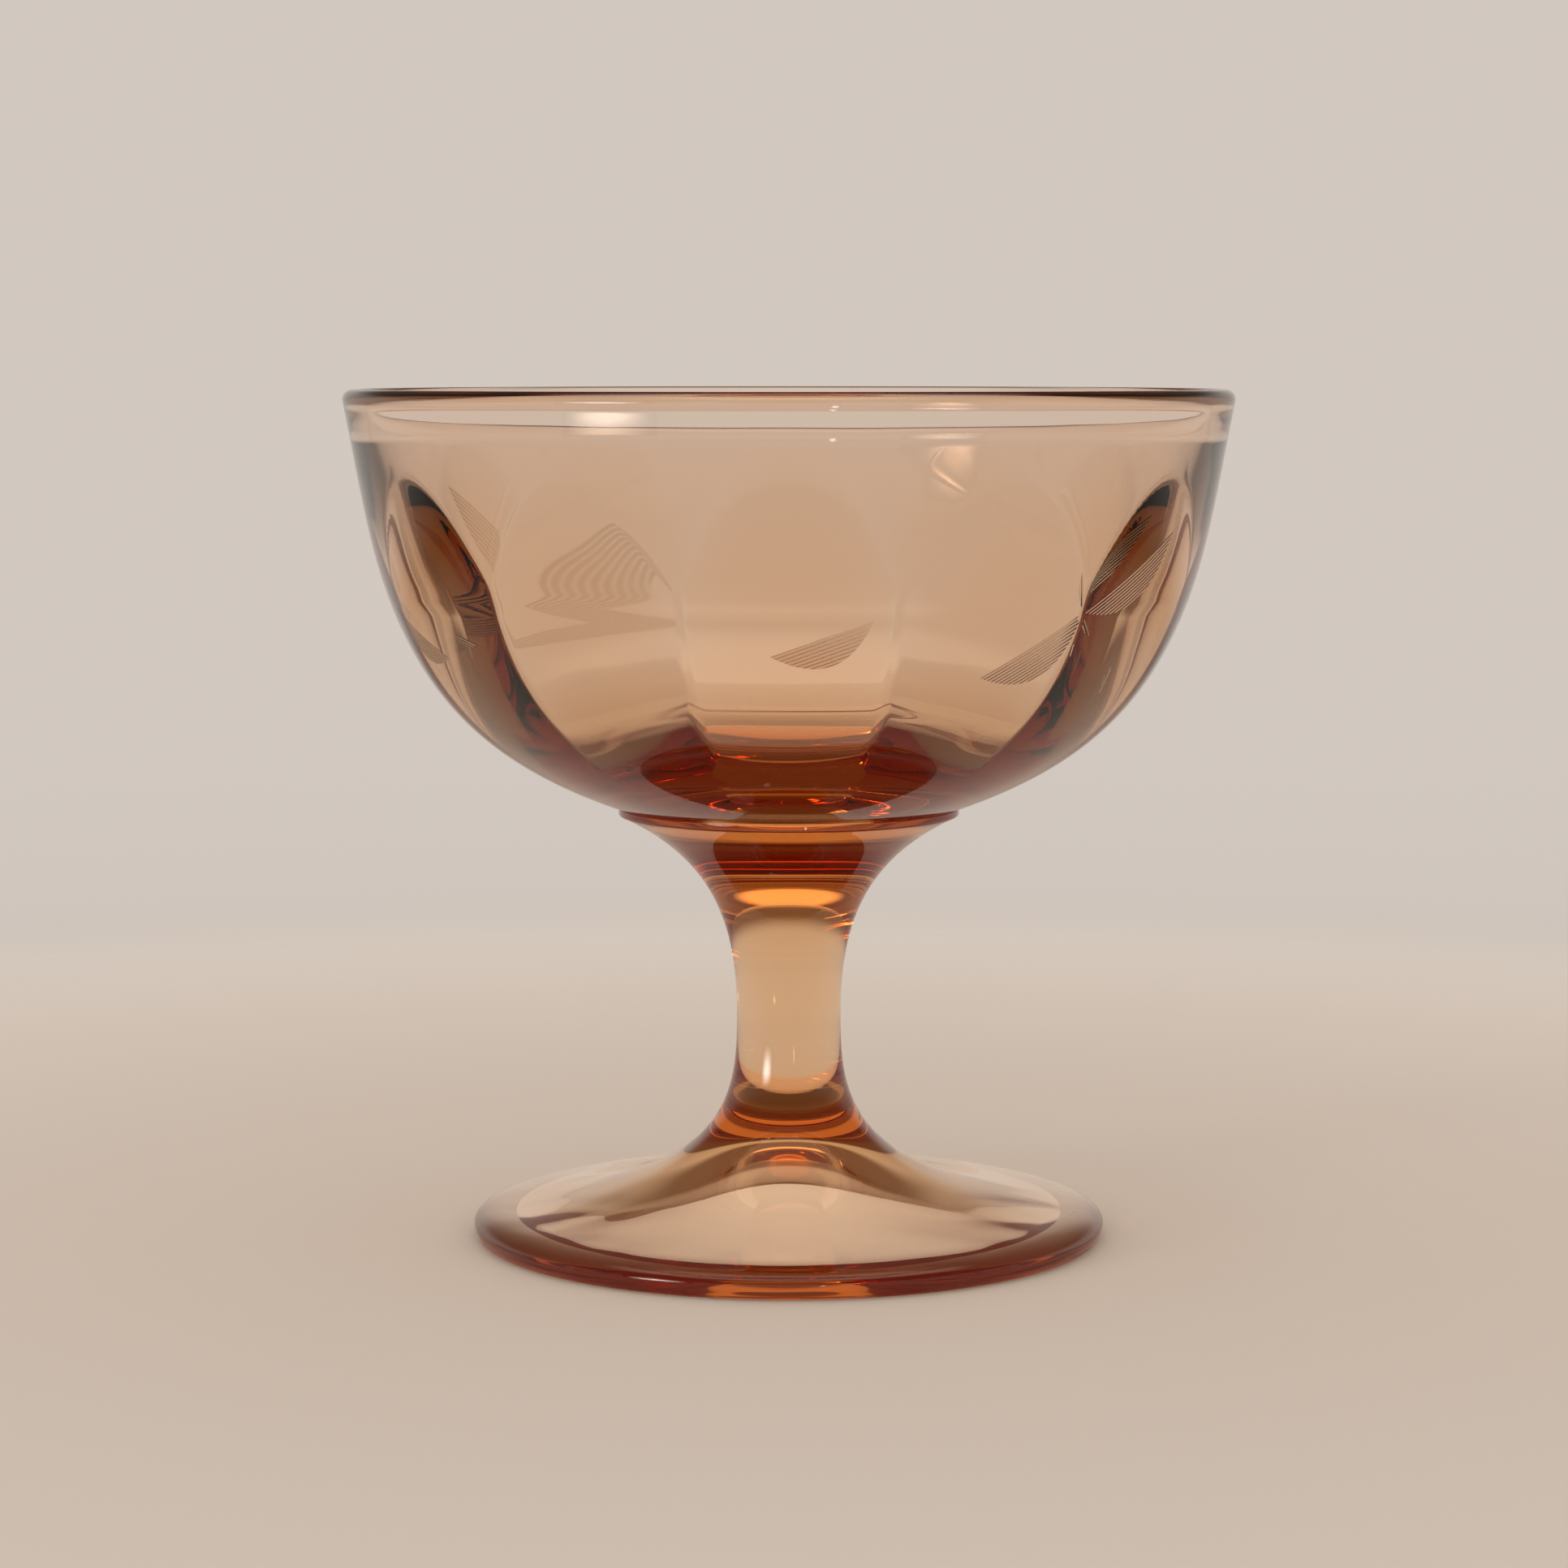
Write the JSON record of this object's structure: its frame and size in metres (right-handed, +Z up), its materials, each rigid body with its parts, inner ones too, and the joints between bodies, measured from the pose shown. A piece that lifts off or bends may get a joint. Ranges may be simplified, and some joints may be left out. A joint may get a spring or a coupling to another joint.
{
  "type": "sherbet glass",
  "caption": "Footed sherbet glass in amber-pink pressed glass: panelled round bowl with wheel-cut leaf sprays, thin collar, solid flared stem and low domed foot.",
  "frame": {"origin": "on the glass's axis, at the level of the foot's resting ring", "axes": "+Z up along the glass's axis, towards the rim; -Y the side that faces the picture's camera"},
  "size_m": [0.092, 0.092, 0.0886],
  "materials": {
    "amber_pink_glass": "gloss"
  },
  "bodies": {
    "root": {"bowl": "amber_pink_glass", "collar": "amber_pink_glass", "stem": "amber_pink_glass", "foot": "amber_pink_glass"}
  },
  "joints": []
}
